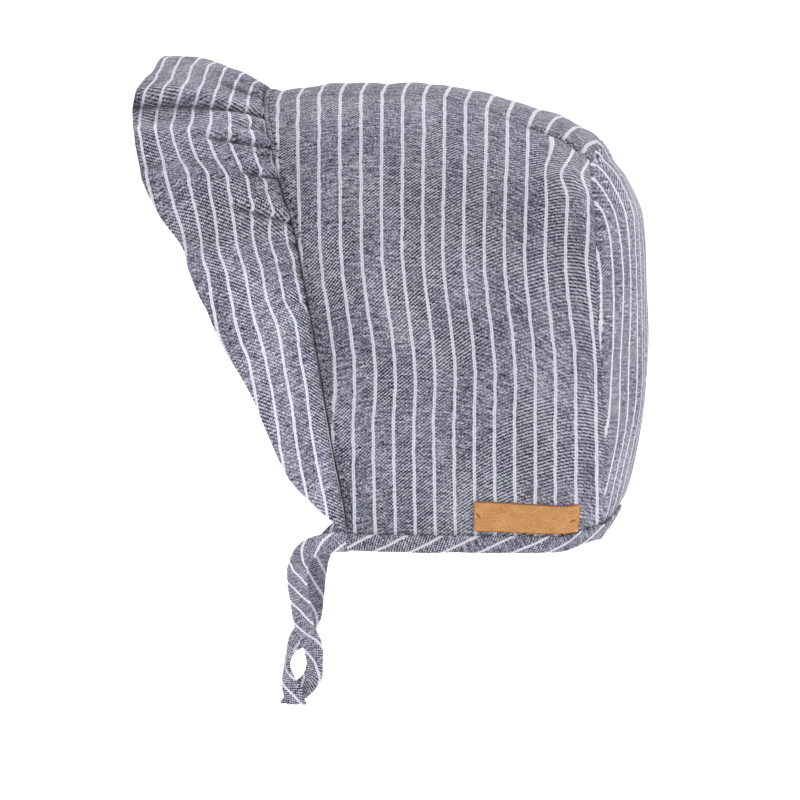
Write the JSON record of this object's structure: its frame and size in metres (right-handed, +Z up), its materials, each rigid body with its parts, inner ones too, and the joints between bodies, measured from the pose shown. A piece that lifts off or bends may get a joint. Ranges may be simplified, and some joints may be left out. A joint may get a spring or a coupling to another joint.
{
  "type": "baby sun bonnet",
  "caption": "Close-fitting baby sun bonnet of striped cotton with a gathered brim, horseshoe back panel, bound neck edge, twisted neck ties and a small bare leather label.",
  "frame": {"origin": "the inside of the crown's top, where the bonnet sits on the head", "axes": "+Z up, -X the way the face looks, -Y the wearer's left side, the bonnet's middle plane is XZ"},
  "size_m": [0.1769, 0.1592, 0.2339],
  "materials": {
    "striped_cotton": "matte grey-blue chambray with thin white stripes",
    "bias_tape": "the same striped chambray cut on the bias and folded",
    "tan_leather": "smooth tan leather, no lettering"
  },
  "bodies": {
    "root": {"crown_panel": "striped_cotton", "back_panel": "striped_cotton", "brim": "striped_cotton", "neck_binding": "bias_tape", "tie_left": "bias_tape", "tie_right": "bias_tape", "leather_label": "tan_leather"}
  },
  "joints": []
}
